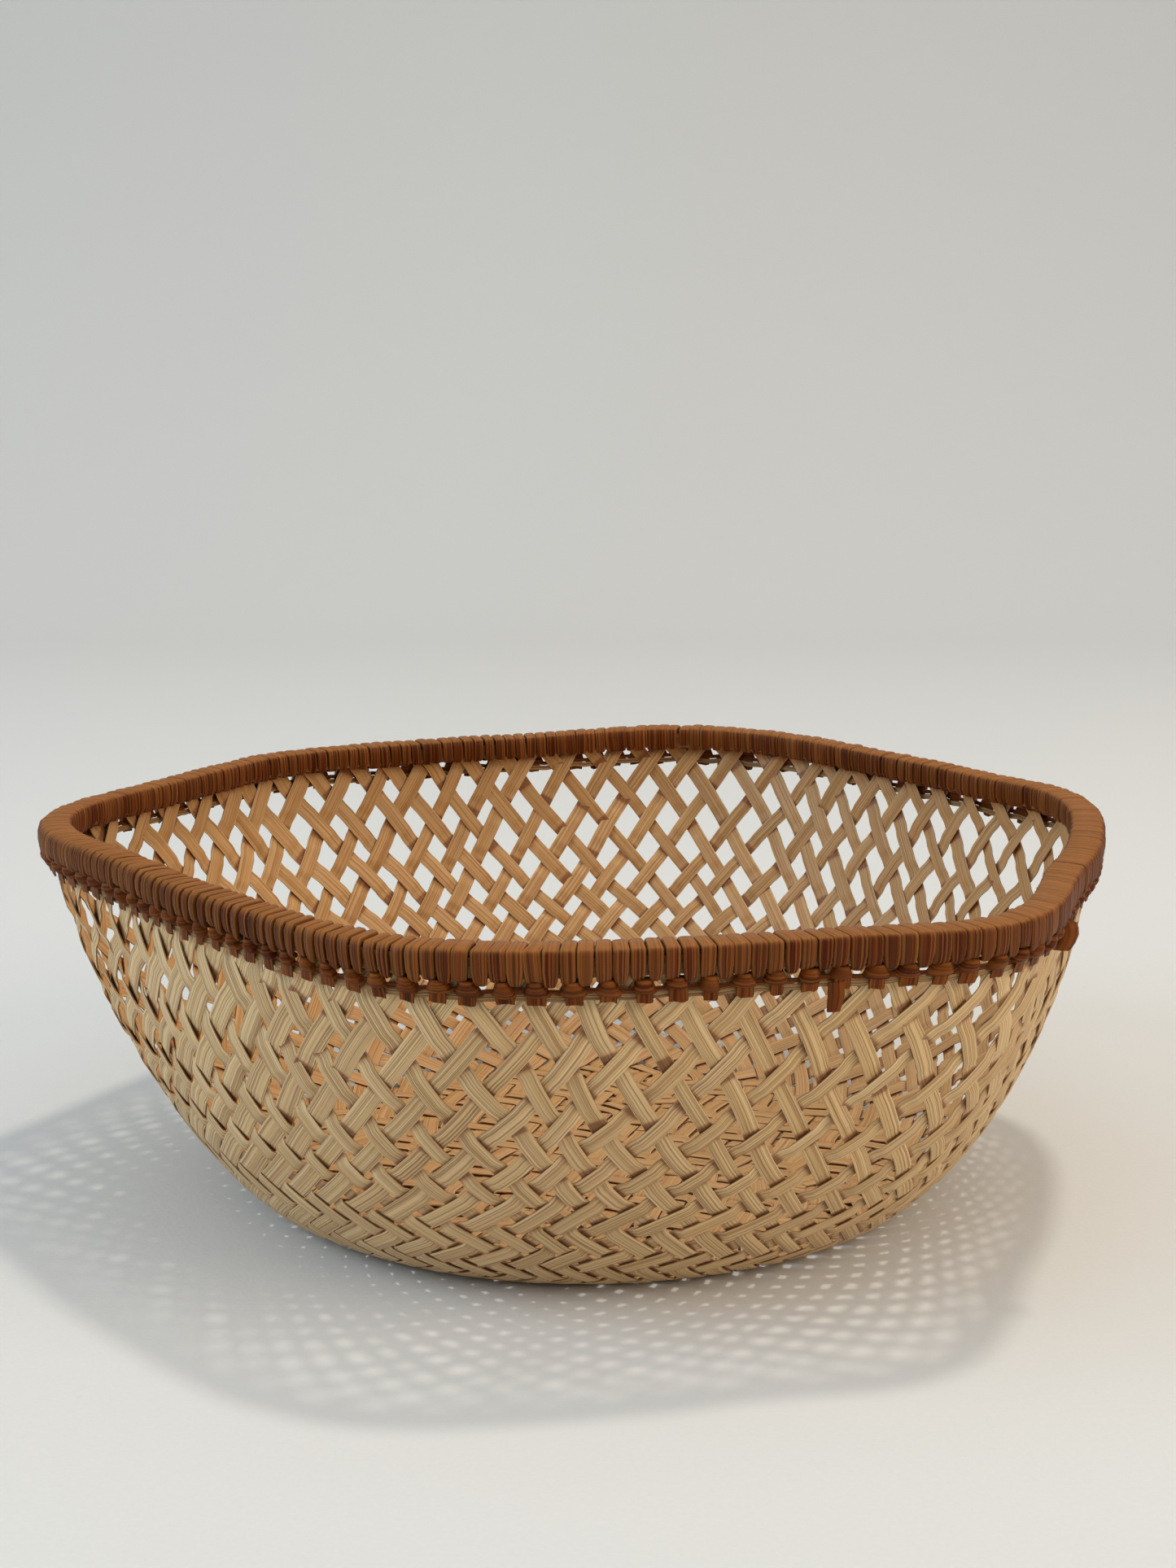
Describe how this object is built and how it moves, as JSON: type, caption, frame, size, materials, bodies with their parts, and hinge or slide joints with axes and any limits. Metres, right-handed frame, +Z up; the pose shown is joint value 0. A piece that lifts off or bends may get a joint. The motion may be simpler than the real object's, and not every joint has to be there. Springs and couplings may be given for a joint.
{
  "type": "woven basket",
  "caption": "Open plaited bamboo bowl with a flat base, a softly six-cornered rim bound over two hoops, and a row of small knots below the binding.",
  "frame": {"origin": "centre of the flat base's underside, on the surface that the basket stands on", "axes": "+Z up out of the open mouth, -Y towards the side that the picture shows, +X to its right"},
  "size_m": [0.263, 0.2658, 0.0885],
  "materials": {
    "splint": "flat split bamboo, pale golden tan with fine lengthwise fibres, satin",
    "hoop": "bent bamboo slat, raw, satin",
    "edge_strip": "thin flat bamboo strip, raw, satin",
    "binding_cane": "red-brown flat rattan strip with fine lengthwise grooves, satin",
    "knot_cane": "red-brown rattan strip, knotted, satin"
  },
  "bodies": {
    "root": {"woven_body": "splint", "inner_hoop": "hoop", "outer_hoop": "hoop", "rim_filler": "edge_strip", "runner": "edge_strip", "rim_binding_1": "binding_cane", "rim_binding_2": "binding_cane", "rim_binding_3": "binding_cane", "rim_binding_4": "binding_cane", "rim_binding_5": "binding_cane", "rim_binding_6": "binding_cane", "knot_row_1": "knot_cane", "knot_row_2": "knot_cane", "knot_row_3": "knot_cane", "knot_row_4": "knot_cane", "knot_row_5": "knot_cane", "knot_row_6": "knot_cane", "loose_tail": "knot_cane", "end_knot": "knot_cane"}
  },
  "joints": []
}
